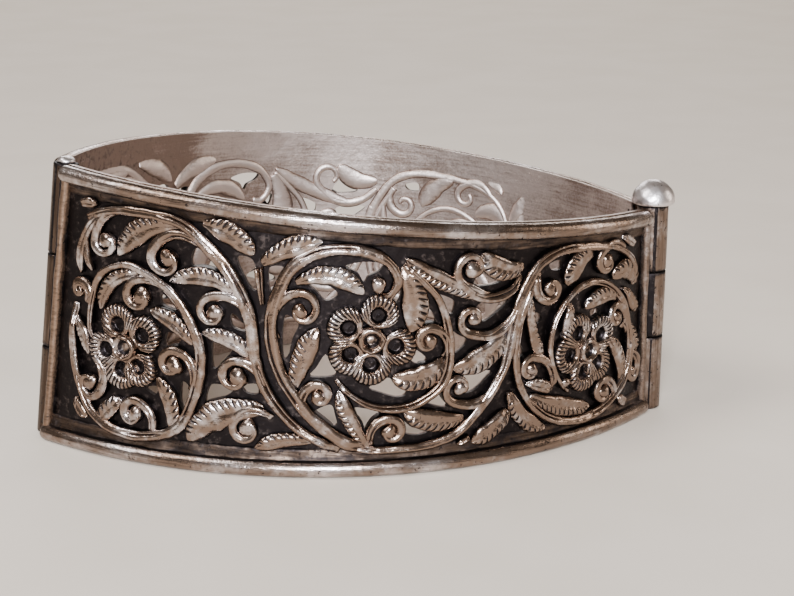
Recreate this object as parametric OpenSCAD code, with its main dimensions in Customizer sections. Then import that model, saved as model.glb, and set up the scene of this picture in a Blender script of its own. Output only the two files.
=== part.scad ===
// Hinged bangle: two pierced halves with scrolling foliage, a hinge pin and a lift-out clasp pin.
// Lengths in mm. Each half is worked out with its middle height at z = 0 and is then stood on its rim.

/* [Plan] */
// half the distance between the two ends of a half, along x
half_chord = 31.6; // [28:0.1:36]
// radius of the middle arc of the flatter front half
front_r = 39.5; // [30:0.5:50]
// half angle of that middle arc
front_arc = 24; // [15:1:35]
// half angle of the whole front half
front_turn = 48; // [40:1:60]
// radius of the middle arc of the deeper back half
back_r = 27.5; // [24:0.5:34]
// half angle of that middle arc
back_arc = 30; // [20:1:40]
// half angle of the whole back half
back_turn = 78; // [65:1:85]

/* [Band] */
// height of the band at its middle
band_h = 26; // [18:0.5:34]
// lean of each rim, so that the band is taller at the hinge
rim_lean = 3; // [0:0.5:5]
// slope of the wall, wider at the bottom
wall_slope = 2.7; // [0:0.1:5]
// inner face of the sheet, measured from the line the plan is drawn on
sheet_in = -0.5; // [-0.8:0.05:-0.2]
// outer face of the sheet
sheet_out = 0.1; // [0:0.05:0.4]
// thickness of the round wire along each rim
wire_d = 1.7; // [1:0.1:2.4]
// how far the middle of that wire stands out from the plan line
wire_out = 0.55; // [0.2:0.05:1]
// height of the strip that closes each end, off the plan line
strip_out = 0.9; // [0.4:0.05:1.4]
// breadth of the strip
strip_w = 0.8; // [0.5:0.05:1.4]

/* [Relief] */
// top of the stems
stem_top = 1.0; // [0.6:0.05:1.3]
// top of the leaves
leaf_top = 0.85; // [0.5:0.05:1.2]
// top of the petals
petal_top = 0.7; // [0.4:0.05:1.1]
// how deep the relief is rooted in the sheet
root_depth = -0.22; // [-0.4:0.02:-0.1]
// breadth of the top of a stem, as a share of its foot
stem_crown = 0.6; // [0.3:0.05:0.9]

/* [Hinge] */
// hinge axis, x and y at the middle height
hinge_x = -31; // [-33:0.1:-29]
// y of the hinge axis
hinge_y = 0.8; // [0:0.1:2]
// radius of the knuckles
hinge_r = 1.3; // [1:0.05:2]
// thickness of the hinge pin
hinge_pin_d = 1.2; // [0.8:0.05:1.6]
// where the front half ends, y
front_end = -0.6; // [-2:0.1:0]
// where the back half ends at the hinge, y
back_end_hinge = 2.2; // [1:0.1:4]

/* [Clasp] */
// clasp axis, x at the middle height
clasp_x = 32.3; // [30:0.1:35]
// y of the clasp axis
clasp_y = 1.2; // [0:0.1:2]
// radius of the knuckles
clasp_r = 1.7; // [1.2:0.05:2.4]
// thickness of the clasp pin
clasp_pin_d = 1.7; // [1:0.05:2.2]
// width of the domed head
head_d = 4.7; // [3:0.1:6]
// height of the domed head
head_h = 2.6; // [1.5:0.1:4]
// where the back half ends at the clasp, y
back_end_clasp = 3.0; // [2:0.1:5]
// room between a pin and its hole, and between pieces that turn
room = 0.05; // [0.02:0.01:0.1]
// gap between two knuckles
knuckle_gap = 0.15; // [0.1:0.05:0.4]

/* [Hidden] */
$fn = 48;
lean = rim_lean;
front_plan = [front_r, front_arc, front_turn];
back_plan = [back_r, back_arc, back_turn];
// columns of a plan
R = 0;
ARC = 1;
TURN = 2;
deg = 180 / PI;
// how much thinner the end arcs are, and how far they run into the middle arc, in degrees
hair = 0.01;
lap = 0.8;
// moves that stand the bangle on its lower rim, centred on its outline
seat_x = -0.4;
seat_y = -6.81;
seat_z = band_h / 2 * cos(lean);

// plan of a half: a middle arc and two end arcs that run smoothly on
function end_r(p) = (half_chord - p[R] * sin(p[ARC])) / (sin(p[TURN]) - sin(p[ARC]));
function end_len(p) = end_r(p) * (p[TURN] - p[ARC]) / deg;
function mid_len(p) = 2 * p[R] * p[ARC] / deg;
function sagitta(p) = p[R] * (1 - cos(p[ARC])) + end_r(p) * (cos(p[ARC]) - cos(p[TURN]));
function mid_cy(p) = p[R] - sagitta(p);
function end_cx(p) = (end_r(p) - p[R]) * sin(p[ARC]);
function end_cy(p) = mid_cy(p) + (end_r(p) - p[R]) * cos(p[ARC]);
// direction of the wall at the length u from the hinge
function turn_at(p, u) =
  u < end_len(p) ? -p[TURN] + u / end_r(p) * deg
  : u < end_len(p) + mid_len(p) ? -p[ARC] + (u - end_len(p)) / p[R] * deg
  : p[ARC] + (u - end_len(p) - mid_len(p)) / end_r(p) * deg;
// the point at length t along the direction a, off the plan line by o
function plan_xy(p, a, o) =
  abs(a) <= p[ARC] ? [(p[R] + o) * sin(a), mid_cy(p) - (p[R] + o) * cos(a)]
  : [-sign(a) * end_cx(p) + (end_r(p) + o) * sin(a), end_cy(p) - (end_r(p) + o) * cos(a)];
// a point of the wall: u along it, v up it, h off it
function on_wall(p, u, v, h) =
  let (q = plan_xy(p, turn_at(p, u), h - v * tan(wall_slope))) [q[0], q[1], v];

// the foliage, drawn on the unrolled wall: u from the hinge, v from the middle height
// a stem: [breadths at start, middle and end], [points]
stems = [
  [[0.9, 1.9, 0.8], [[5, 9.7], [8, 11.2], [12, 11.7], [16, 11], [19, 9.2], [22, 6.3], [24, 2.5],
    [24.8, -1.5], [26.2, -5], [29, -8.2], [33, -10.4]]],
  [[1.2, 1.4, 0.9], [[35.5, -10.3], [33, -9.3], [30, -7], [28, -4.5], [26.6, -2], [25.8, 1], [25.9, 3.5],
    [27.2, 7.2], [29, 8.9], [31.5, 9.8], [34.5, 9.7], [36.7, 8.8], [37.9, 7.2], [37.5, 5.7], [36.4, 5.4]]],
  [[0.4, 1.2, 0.6], [[32.3, -3.3], [34, -4.8], [36, -5.8], [38.5, -6], [41, -5.2], [43, -3.2],
    [43.4, 0.5], [42.3, 4.5], [40.5, 6.7], [38.5, 8.5]]],
  [[0.6, 1.3, 0.7], [[34.5, -10.3], [38, -10.2], [42, -9.8], [44.5, -8.8], [46.3, -7.2], [48, -5],
    [49.5, -2.3], [50.2, 1], [50.8, 3.8], [51.8, 6], [53.3, 7.9], [55.5, 8.9], [58, 9.1], [61, 8.9],
    [64, 8.4], [66.2, 7.4], [67.6, 5.9], [68.5, 3.8]]],
  [[0.8, 1.1, 0.45], [[53.5, 7], [51.7, 4], [50.9, 1], [50.8, -2], [51.5, -4.7], [53.2, -7], [55.5, -8.6],
    [58.5, -9.6], [61.5, -9.4], [64, -8.4], [66.3, -6.8], [67.4, -4.8], [67.5, -2.5], [66.8, 0],
    [65.6, 2.4], [63.5, 4.3], [61, 5.2], [58.8, 4.9], [57, 3.8], [55.6, 2], [55, 0], [55.1, -2],
    [55.8, -3.9], [57, -5.4], [58.2, -6.2]]],
  [[0.7, 1.3, 0.5], [[4, 0.8], [4, -3], [5, -6.8], [7, -10], [10.5, -11.7], [14.5, -11.2], [17, -9.6],
    [18.4, -6.5], [19, -3], [18.6, -0.5], [17.4, 1.8], [15.5, 4], [13, 5.3], [10.5, 5.9], [8.3, 5.2],
    [6.9, 3.7], [6.3, 1.2], [6.2, -1.5], [6.4, -3]]],
  [[0.9, 0.7, 0.4], [[24.3, 7.5], [24.6, 5.5], [24.9, 3.8]]],
];
// a curled end: centre u, centre v, radius, tail u, tail v, sense, ball radius
curls = [
  [7.8, 7.9, 1.5, 11.5, 10.9, 1, 0.7],
  [15, 7.3, 1.8, 18.6, 8.7, 1, 0.75],
  [12.2, 3, 1.7, 16.3, 2.2, 1, 0.8],
  [16.2, -3.4, 1.5, 18, -5.8, 1, 0.7],
  [12.1, -9.4, 1.4, 13.9, -11.4, 1, 0.65],
  [6.5, -7, 1.5, 6.2, -3.8, -1, 0.65],
  [4.8, 2.3, 0.9, 5.6, 0.8, 1, 0.4],
  [20.2, 2.6, 1.6, 24.2, 1, 1, 0.65],
  [22.8, -3.7, 1.7, 25.2, -5.2, 1, 0.8],
  [24, -8.7, 1.5, 26.3, -7.6, 1, 0.7],
  [28.5, 3.5, 1.8, 26.4, 0.5, -1, 0.6],
  [30.6, -5, 1.3, 29.6, -6.8, -1, 0.6],
  [41.4, 0.8, 1.4, 43, -1, 1, 0.6],
  [37.7, -8.4, 1.35, 36, -9.9, -1, 0.6],
  [44.8, -4.2, 1.6, 49.2, -2.6, -1, 0.55],
  [45.9, 2.8, 1.5, 50.8, 4.6, -1, 0.55],
  [45.6, 7.8, 1.8, 51.3, 6.8, -1, 0.7],
  [54.6, 5.2, 1.3, 53.4, 7, 1, 0.6],
  [62.8, 7.1, 1.3, 66, 7.4, 1, 0.6],
  [64.9, 0.8, 1.2, 66.4, -0.8, 1, 0.5],
  [63.3, -7.1, 1.25, 64.9, -8.2, 1, 0.6],
  [52.8, -3, 1.2, 55.5, -5.6, 1, 0.5],
  [68.3, -5.8, 1, 67.3, -3.6, -1, 0.45],
];
// a leaf: root u, root v, tip u, tip v, bow to its left, breadth
leaves = [
  [7, 10.6, 4.6, 4, -1, 0.9],
  [16, 10.6, 9.2, 6.7, -1.2, 1.9],
  [22.3, 4.6, 15.3, 4.9, -1.2, 1.4],
  [12, 5.2, 7.3, 0.8, -1.3, 1.2],
  [18, -1, 13.2, 1.8, -0.6, 1.2],
  [16.3, -10.3, 14.3, -5, -0.7, 1.3],
  [7.8, -11, 10.4, -8.1, 0.3, 1.3],
  [4.2, -0.5, 6, -4.2, 0.3, 1],
  [4.2, 11, 6.3, 11.3, 0.2, 0.9],
  [4.7, -9, 6.3, -10.8, -0.2, 0.9],
  [18.5, 11.2, 23.8, 8.7, 0.6, 1.7],
  [24.6, 7.9, 30.4, 10.5, 0.5, 1.6],
  [24.4, -1.7, 18.9, 0.3, -0.7, 1.3],
  [25.5, -6.8, 18, -10.9, -1.3, 2.2],
  [30.3, -9.6, 24.8, -10.8, -0.5, 1.3],
  [28, 6.3, 34.6, 5.5, 1.3, 1.5],
  [28.4, -4.2, 30.3, 1.9, 0.3, 1.7],
  [38.3, 8.2, 39.4, 1.7, 0.8, 2],
  [43, -1.2, 37.8, -2.9, 0.9, 1.9],
  [35.7, -10, 32.6, -4.3, 0.3, 1.3],
  [45.3, -7.3, 39.1, -6.5, 0.5, 1.7],
  [49.8, 1.3, 43.9, -2.2, 0.8, 1.9],
  [48, 4.9, 38.6, 9, 0.5, 1.4],
  [51.3, 7.8, 46.5, 9.4, 0.9, 1.8],
  [60.8, 8.8, 57, 5.2, -0.6, 1.9],
  [68.2, 3.8, 64, 5, -1.3, 1.7],
  [65.2, 2.6, 59.8, 2.4, -1, 1.3],
  [57.5, 3.3, 56.8, 0.2, 0.3, 1.1],
  [66.3, -6.8, 63.9, -1.5, -0.8, 1.3],
  [53, -6, 61.2, -8.2, -0.4, 1.6],
  [52.2, 4.8, 54.2, -2.3, -0.5, 1.1],
  [50.4, -5.2, 55, -9.5, -0.9, 1.4],
  [66.2, 3.6, 68.3, 0.7, 0.2, 1],
  [66.5, 0, 69, -3.8, 0.2, 1.4],
  [65.5, 9.2, 67.5, 8, 0.2, 0.9],
  [66, -8, 67.5, -9.2, -0.2, 0.9],
  [50.2, -7, 46.3, -10, 0.3, 1.6],
];
// a flower: centre u, centre v, reach, radius of its button, directions of its petals
flowers = [
  [10.6, -2.5, 4.1, 1.35, [115, 39, -48, -97, -164]],
  [35.55, 0.95, 4.3, 1.25, [154, 76, -15, -89, -142]],
  [60.3, -2, 4.1, 1.25, [127, 33, -45, -98, 185]],
];
// a pierced gap: centre u, centre v, length, breadth, lean of its length
gaps = [
  [18.3, 7.6, 2.4, 1.5, 150],
  [23, 7.2, 2, 1.3, 110],
  [15.3, 2.9, 2, 1, 150],
  [15.5, -1, 1.4, 1, 30],
  [20.8, -1.6, 2.2, 1.7, 90],
  [20.5, -5.8, 2, 1.2, 20],
  [17.2, -7, 2, 0.8, 80],
  [22.5, 1.8, 1.4, 0.8, 160],
  [13.6, -6.6, 1, 0.6, 0],
  [26.2, 6.4, 2, 1.2, 80],
  [34.7, 7.7, 3.4, 1.3, 0],
  [30.7, 5.8, 2.4, 0.9, 20],
  [37.5, 5.2, 1.7, 1.1, 160],
  [27.8, 1.4, 2.4, 1, 80],
  [30.9, -2.4, 2.2, 1.3, 60],
  [37.5, -3.9, 3.8, 1.3, 10],
  [31, -6.6, 1.9, 1, 150],
  [35.4, -7, 2.6, 1.5, 30],
  [39.3, -8, 1.6, 1.1, 0],
  [41.4, 3, 1.8, 1, 70],
  [40.3, -0.7, 1.3, 1, 0],
  [43.3, 4.3, 1.5, 1.1, 60],
  [44.3, 0.4, 1.8, 1.2, 150],
  [47.2, 7, 2.6, 1.1, 160],
  [48.2, 3.7, 3, 1.6, 0],
  [46.9, -3.4, 2.7, 1.3, 60],
  [42.4, -5.2, 1.8, 1.1, 40],
  [51.5, -0.8, 1.4, 0.8, 90],
  [55.7, 7.4, 1.7, 1.2, 20],
  [53.6, 2.2, 1.1, 0.8, 90],
  [61.8, 1.7, 1.3, 0.9, 0],
  [24.3, -5, 1, 0.6, 150],
];

// drawing on the unrolled wall
function blend(a, b, t) = a + (b - a) * t;
// smooth curve through four neighbouring points
function bend(a, b, c, d, t) =
  0.5 * (2 * b + (c - a) * t + (2 * a - 5 * b + 4 * c - d) * t * t + (3 * b - a - 3 * c + d) * t * t * t);
function pick(p, i) = p[max(0, min(len(p) - 1, i))];
function smooth(p, n) = [for (i = [0 : len(p) - 2]) for (k = [0 : n - 1])
  bend(pick(p, i - 1), p[i], p[i + 1], pick(p, i + 2), k / n), p[len(p) - 1]];
function breadth(w, t) = t < 0.5 ? blend(w[0], w[1], 2 * t) : blend(w[1], w[2], 2 * t - 1);
// direction across a path at its point i
function across(p, i) = let (d = pick(p, i + 1) - pick(p, i - 1)) [-d[1], d[0]] / norm(d);
// path of a curled end: a ring that tightens on its ball
function curl_r(c, t) = let (r0 = norm([c[3] - c[0], c[4] - c[1]]))
  t < 0.3 ? blend(r0, c[2], sin(t / 0.3 * 90)) : blend(c[2], 0.6 * c[2], pow((t - 0.3) / 0.7, 3));
function curl_path(c, n) = [for (i = [0 : n]) let (a = atan2(c[4] - c[1], c[3] - c[0]) + c[5] * 300 * i / n)
  [c[0] + curl_r(c, i / n) * cos(a), c[1] + curl_r(c, i / n) * sin(a)]];
function leaf_path(f, n) =
  let (a = [f[0], f[1]], d = [f[2] - f[0], f[3] - f[1]], s = [-d[1], d[0]] / norm(d))
  [for (i = [0 : n]) a + d * i / n + s * f[4] * 4 * i / n * (1 - i / n)];

// a raised strand along a path: foot breadths w, top height and breadth of its crown
module strand(plan, path, w, top, crown) {
  n = len(path);
  section = [[-0.5, root_depth], [0.5, root_depth], [0.5 * crown, top], [-0.5 * crown, top]];
  points = [for (i = [0 : n - 1]) for (k = section)
    let (q = path[i] + across(path, i) * k[0] * w[i]) on_wall(plan, q[0], q[1], k[1])];
  sides = [for (i = [0 : n - 2]) for (k = [0 : 3]) let (a = 4 * i + k, b = 4 * i + (k + 1) % 4)
    each [[a, a + 4, b + 4], [a, b + 4, b]]];
  last = 4 * n - 4;
  ends = [[0, 1, 2], [0, 2, 3], [last + 2, last + 1, last], [last + 3, last + 2, last]];
  polyhedron(points, concat(sides, ends));
}
// a boss of stacked rings: [height, radius]
module boss(plan, u, v, rings, n) {
  m = len(rings);
  points = [for (g = rings) for (k = [0 : n - 1])
    on_wall(plan, u + g[1] * cos(360 * k / n), v + g[1] * sin(360 * k / n), g[0])];
  sides = [for (i = [0 : m - 2]) for (k = [0 : n - 1]) let (a = n * i + k, b = n * i + (k + 1) % n)
    each [[a, b + n, b], [a, a + n, b + n]]];
  foot = [for (k = [1 : n - 2]) [0, k, k + 1]];
  lid = [for (k = [1 : n - 2]) [n * (m - 1), n * (m - 1) + k + 1, n * (m - 1) + k]];
  polyhedron(points, concat(sides, foot, lid));
}
module stem(plan, s) {
  path = s[1];
  n = len(path) - 1;
  strand(plan, path, [for (i = [0 : n]) breadth(s[0], i / n)], stem_top, stem_crown);
}
module curl(plan, c) {
  path = curl_path(c, 8);
  strand(plan, path, [for (i = [0 : 8]) blend(0.85, 0.5, i / 8)], stem_top - 0.1, stem_crown);
  boss(plan, c[0], c[1], [[root_depth, c[6] * 0.9], [0.5, c[6]], [0.9, 0.55 * c[6]]], 6);
}
leaf_shape = [0.45, 0.95, 1, 0.7, 0.12];
module leaf(plan, f) {
  strand(plan, leaf_path(f, 4), f[5] * leaf_shape, leaf_top, 0.72);
}
petal_shape = [1.3, 2.5, 3.1, 2.3];
module flower(plan, f) {
  for (a = f[4])
    strand(plan, [for (t = [0.2, 0.5, 0.78, 1]) [f[0] + f[2] * t * cos(a), f[1] + f[2] * t * sin(a)]],
      petal_shape, petal_top, 0.75);
  button = [[root_depth, 1.1], [0.9, 1.05], [1.05, 0.8], [0.75, 0.4]];
  boss(plan, f[0], f[1], [for (g = button) [g[0], g[1] * f[3]]], 10);
}
module relief(plan) {
  resize([0, 0, 0]) union() {
    for (s = stems) stem(plan, s);
    for (c = curls) curl(plan, c);
    for (f = leaves) leaf(plan, f);
    for (f = flowers) flower(plan, f);
  }
}

// the band
// turns a section about the three arc centres of a plan, from the hinge end to the clasp end;
// the two end arcs are thinner by a hair and run into the middle one, so they join it cleanly
module along(plan, spare) {
  $thin = 0;
  translate([0, mid_cy(plan), 0]) rotate([0, 0, -90 - plan[ARC]])
    rotate_extrude(angle = 2 * plan[ARC]) translate([plan[R], 0]) children();
  end_arc(plan, spare, -1) children();
  end_arc(plan, spare, 1) children();
}
module end_arc(plan, spare, side) {
  $thin = hair;
  start = side > 0 ? plan[ARC] - lap : -plan[TURN] - spare;
  translate([-side * end_cx(plan), end_cy(plan), 0]) rotate([0, 0, start - 90])
    rotate_extrude(angle = plan[TURN] - plan[ARC] + spare + lap) translate([end_r(plan), 0]) children();
}
module wall_section(inner, outer) {
  t = 16 * tan(wall_slope);
  i = inner + $thin;
  o = outer - $thin;
  polygon([[i + t, -16], [o + t, -16], [o - t, 16], [i - t, 16]]);
}
// everything between the two rims
module between_rims() {
  a = 50 * tan(lean);
  rotate([90, 0, 0]) linear_extrude(height = 120, center = true)
    polygon([[-50, -band_h / 2 - a], [50, -band_h / 2 + a], [50, band_h / 2 - a], [-50, band_h / 2 + a]]);
}
module before(y0, y1) {
  translate([-50, y0 - 60, -30]) cube([50, 60, 60]);
  translate([0, y1 - 60, -30]) cube([50, 60, 60]);
}
module lens(l, w) {
  r = (l * l + w * w) / (4 * w);
  intersection() {
    translate([0, r - w / 2]) circle(r);
    translate([0, w / 2 - r]) circle(r);
  }
}
module gap_cut(plan, g) {
  translate(on_wall(plan, g[0], g[1], 0)) rotate([90, 0, turn_at(plan, g[0])]) rotate([0, 0, g[4]])
    linear_extrude(height = 4, center = true) lens(g[2], g[3]);
}
module sheet(plan) {
  difference() {
    along(plan, 4) wall_section(sheet_in, sheet_out);
    for (g = gaps) gap_cut(plan, g);
  }
}
// the round wire of one rim, side 1 for the upper, -1 for the lower; spare as in along
module rim_wire(plan, side, spare) {
  drop = band_h / 2 - wire_d / 2 + 0.04;
  out = wire_out - side * drop * tan(wall_slope);
  translate([-drop * tan(lean), 0, 0]) rotate([0, side * lean, 0]) translate([0, 0, side * drop / cos(lean)])
    along(plan, spare) translate([out, 0]) circle(wire_d / 2 - $thin);
}
// a band half as it lies in front, ending at y0 by the hinge and y1 by the clasp
module band(plan, y0, y1, spare) {
  intersection() {
    union() {
      sheet(plan);
      rim_wire(plan, 1, spare);
      rim_wire(plan, -1, spare);
      difference() {
        along(plan, 4) wall_section(sheet_in, strip_out);
        before(y0 - strip_w, y1 - strip_w);
      }
    }
    between_rims();
    before(y0, y1);
  }
  relief(plan);
}

// hinge and clasp
// places along each axis, measured from its middle
hinge_top = 14.45;
hinge_low = -14.45;
hinge_split = [5.0, -4.95];
clasp_top = 11.55;
clasp_low = -11.2;
clasp_split = [4.35, -2.95];
module on_hinge() {
  translate([hinge_x, hinge_y, 0]) rotate([0, lean, 0]) children();
}
module on_clasp() {
  translate([clasp_x, clasp_y, 0]) rotate([0, -lean, 0]) children();
}
// a knuckle from s0 to s1 with a web that reaches to its half
module knuckle(r, bore, s0, s1, web_x, web_y0, web_y1) {
  difference() {
    union() {
      translate([0, 0, s0]) cylinder(h = s1 - s0, r = r);
      translate([web_x[0], web_y0, s0]) cube([web_x[1] - web_x[0], web_y1 - web_y0, s1 - s0]);
    }
    translate([0, 0, s0 - 1]) cylinder(h = s1 - s0 + 2, d = bore);
  }
}

// the front wires end square, where the sheet ends
front_spare = front_end / sin(front_turn) / end_r(front_plan) * deg;
hinge_bore = hinge_pin_d + 2 * room;
clasp_bore = clasp_pin_d + 2 * room;
half_gap = knuckle_gap / 2;
module front_half() {
  web = front_end - clasp_y - 0.4;
  color("silver") union() {
    band(front_plan, front_end, front_end, front_spare);
    on_hinge() knuckle(hinge_r, hinge_bore, hinge_split[1] + half_gap, hinge_split[0] - half_gap,
      [-0.9, 0.5], front_end - hinge_y - 0.3, -0.5);
    on_clasp() {
      knuckle(clasp_r, clasp_bore, clasp_split[0] + half_gap, clasp_top, [-1.2, 0], web, -0.8);
      knuckle(clasp_r, clasp_bore, clasp_low, clasp_split[1] - half_gap, [-1.2, 0.3], web, -0.8);
    }
  }
}
module back_half() {
  web = back_end_hinge - hinge_y + 0.3;
  color("silver") union() {
    mirror([0, 1, 0]) band(back_plan, -back_end_hinge, -back_end_clasp, 4);
    on_hinge() {
      knuckle(hinge_r, hinge_bore, hinge_split[0] + half_gap, hinge_top, [-1, 0.4], 0.5, web);
      knuckle(hinge_r, hinge_bore, hinge_low, hinge_split[1] - half_gap, [-1, 0.4], 0.5, web);
    }
    on_clasp() knuckle(clasp_r, clasp_bore, clasp_split[1] + half_gap, clasp_split[0] - half_gap,
      [-1.3, 0.2], 0.8, back_end_clasp - clasp_y + 0.4);
  }
}
module hinge_pin() {
  color("gray") on_hinge() {
    translate([0, 0, hinge_low + 0.1]) cylinder(h = hinge_top - hinge_low, d = hinge_pin_d);
    translate([0, 0, hinge_top + room]) rotate_extrude() intersection() {
      translate([0, -0.35]) circle(0.95);
      square([2, 2]);
    }
  }
}
module clasp_pin() {
  color("silver") on_clasp() {
    translate([0, 0, clasp_low + 0.85]) cylinder(h = clasp_top - clasp_low - 0.5, d = clasp_pin_d);
    translate([0, 0, clasp_low + 0.85]) sphere(d = clasp_pin_d);
    translate([0, 0, clasp_top + 0.1]) rotate_extrude() intersection() {
      translate([0, head_h - head_d / 2]) circle(head_d / 2);
      square([head_d, head_h]);
    }
  }
}

module seated() {
  translate([seat_x, seat_y, seat_z]) rotate([0, lean, 0]) children();
}

seated() front_half();
seated() back_half();
seated() hinge_pin();
seated() clasp_pin();
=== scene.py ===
# %% [markdown]
# # A hinged silver bangle with scrolling foliage
#
# The bangle is two bowed halves, hinged on the left and closed on the right by a pin with a domed
# head. Each half is a pierced sheet with raised stems, curls, leaves and flowers, framed by round
# wires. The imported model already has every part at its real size. Here each part is made again with
# the detail that the eye sees: crowned stems, chased cuts, cupped petals and the dark silver between.

# %% Load the frame
from math import atan2, copysign, cos, degrees, hypot, pi, radians, sin, sqrt, tan
import bmesh
import bpy
from mathutils import Matrix, Vector, noise


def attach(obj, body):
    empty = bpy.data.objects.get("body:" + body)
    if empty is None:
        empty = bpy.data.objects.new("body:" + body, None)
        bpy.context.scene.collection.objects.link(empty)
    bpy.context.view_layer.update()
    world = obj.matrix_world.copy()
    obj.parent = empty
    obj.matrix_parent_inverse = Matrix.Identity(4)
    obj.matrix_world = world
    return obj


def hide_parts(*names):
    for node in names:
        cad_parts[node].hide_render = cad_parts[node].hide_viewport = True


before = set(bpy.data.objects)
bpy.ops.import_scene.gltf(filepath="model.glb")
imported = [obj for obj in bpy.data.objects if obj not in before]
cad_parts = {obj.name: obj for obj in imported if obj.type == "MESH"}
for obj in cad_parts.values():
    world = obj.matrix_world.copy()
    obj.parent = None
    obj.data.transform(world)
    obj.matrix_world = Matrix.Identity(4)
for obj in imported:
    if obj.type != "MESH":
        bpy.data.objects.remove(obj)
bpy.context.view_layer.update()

# %% [markdown]
# ## The place of everything
#
# The halves are worked out in millimetres, with zero at the middle of their height, and are then stood
# on the lower rim. The rims lean three degrees each way, because the band is taller at the hinge. One
# matrix holds that move and turns millimetres into metres.

# %% Driving sizes, in millimetres
BAND_H = 26.0
HALF_CHORD = 31.6
LEAN = radians(3.0)
SLOPE = tan(radians(2.7))
SEAT_X = -0.4
SEAT_Y = -6.81
WIRE_R = 0.85
WIRE_OUT = 0.55
SHEET_IN = -0.5
SHEET_OUT = 0.1
FRONT_END = -0.6
BACK_END_HINGE = 2.2
BACK_END_CLASP = 3.0
MM = 0.001

SEAT = (Matrix.Scale(MM, 4)
        @ Matrix.Translation((SEAT_X, SEAT_Y, BAND_H / 2 * cos(LEAN)))
        @ Matrix.Rotation(LEAN, 4, "Y"))
print("seat", [round(c, 5) for c in SEAT.to_translation()])

# %% [markdown]
# ## The camera
#
# The camera comes first, so that each later step can be compared with the photograph. It stands a
# little above the bangle and to its left, and is rolled by three degrees, as in the photograph.

# %% Camera
CAMERA_AZIMUTH = radians(-9.09)
CAMERA_ELEVATION = radians(15.71)
CAMERA_ROLL = radians(3.43)
CAMERA_DISTANCE = 192.26
CAMERA_TARGET = (4.36, 0.0, 0.92)
FOCAL_PIXELS = 1815.97
IMAGE_WIDTH = 794
SENSOR_WIDTH = 36


def add_object(name, data):
    """A new object at the origin that shows the data."""
    made = bpy.data.objects.new(name, data)
    bpy.context.collection.objects.link(made)
    return made


camera = add_object("camera", bpy.data.cameras.new("camera"))
# from the last line up: back from the target, rolled, tipped up, and turned round the target
place, turn, _ = (SEAT @ Matrix.Translation(CAMERA_TARGET)
                  @ Matrix.Rotation(CAMERA_AZIMUTH, 4, "Z")
                  @ Matrix.Rotation(pi / 2 - CAMERA_ELEVATION, 4, "X")
                  @ Matrix.Rotation(CAMERA_ROLL, 4, "Z")
                  @ Matrix.Translation((0, 0, CAMERA_DISTANCE))).decompose()
camera.location, camera.rotation_euler = place, turn.to_euler()
camera.data.sensor_width = SENSOR_WIDTH
camera.data.lens = FOCAL_PIXELS / IMAGE_WIDTH * SENSOR_WIDTH
camera.data.clip_start = 0.005
camera.data.clip_end = 20
bpy.context.scene.camera = camera
print("lens", round(camera.data.lens, 2), "camera at", [round(c, 4) for c in camera.location])

# %% [markdown]
# ## The unrolled wall
#
# A silversmith chases the ornament on a flat strip and bends the strip afterwards. The same is done
# here: each piece is drawn flat, with u running along the strip from the hinge, v up from the middle
# height and h off the sheet, and is then wrapped on the wall. A half's plan is three arcs that run
# smoothly into each other, a middle one and two flatter ends, and the wall leans in a little upwards.

# %% The two halves
class Half:
    """The plan of one half, in front of the line from hinge to clasp (side 1) or behind it (-1).

    The middle arc turns by arc each way, and the ends face the angle turn. The name is the body's
    too, and ends says how far from the line the sheet stops, at the hinge and at the clasp.
    """

    def __init__(self, name, radius, arc, turn, side, ends):
        self.name, self.side, self.ends = name, side, ends
        self.radius, self.arc, self.turn = radius, radians(arc), radians(turn)
        self.end_radius = (HALF_CHORD - radius * sin(self.arc)) / (sin(self.turn) - sin(self.arc))
        self.end_length = self.end_radius * (self.turn - self.arc)
        self.length = 2 * self.end_length + 2 * radius * self.arc
        sagitta = radius * (1 - cos(self.arc)) + self.end_radius * (cos(self.arc) - cos(self.turn))
        self.mid_y = radius - sagitta
        self.end_x = (self.end_radius - radius) * sin(self.arc)
        self.end_y = self.mid_y + (self.end_radius - radius) * cos(self.arc)

    def heading(self, u):
        """Direction that the wall faces at u, zero at the middle."""
        if u < self.end_length:
            return -self.turn + u / self.end_radius
        if u < self.length - self.end_length:
            return -self.arc + (u - self.end_length) / self.radius
        return self.arc + (u - self.length + self.end_length) / self.end_radius

    def plan(self, u, off):
        """Plan point at u, off the drawn line."""
        a = self.heading(u)
        if abs(a) <= self.arc:
            return (self.radius + off) * sin(a), self.mid_y - (self.radius + off) * cos(a)
        reach = self.end_radius + off
        return reach * sin(a) - copysign(self.end_x, a), self.end_y - reach * cos(a)

    def wall(self, u, v, h):
        """The place on the standing bangle, in metres, of a point of the flat strip."""
        x, y = self.plan(u, h - v * SLOPE)
        return SEAT @ Vector((x, y * self.side, v))

    def rim(self, u):
        """Height of the rim above the middle, the same below it."""
        return BAND_H / 2 - self.plan(u, 0)[0] * tan(LEAN)


FRONT = Half("front", 39.5, 24, 48, 1, (FRONT_END, FRONT_END))
BACK = Half("back", 27.5, 30, 78, -1, (BACK_END_HINGE, BACK_END_CLASP))
for half in (FRONT, BACK):
    rims = [round(half.rim(u), 2) for u in (0, half.length)]
    print(half.name, "strip", round(half.length, 2), "mm, rims at", rims)

# %% [markdown]
# ## Helpers for flat pieces
#
# Nearly all of the ornament is a closed section drawn along a curve. `strand` makes it from a grid
# whose rows follow the curve and whose columns follow the section. Each corner also keeps how dark it
# is, because the smith blackens the whole piece and then polishes the high places. On the inside of the
# sheet the same value also holds painted shade, darker towards the hinge.

# %% Curves on the strip
SPAN_STEPS = 8


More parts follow.
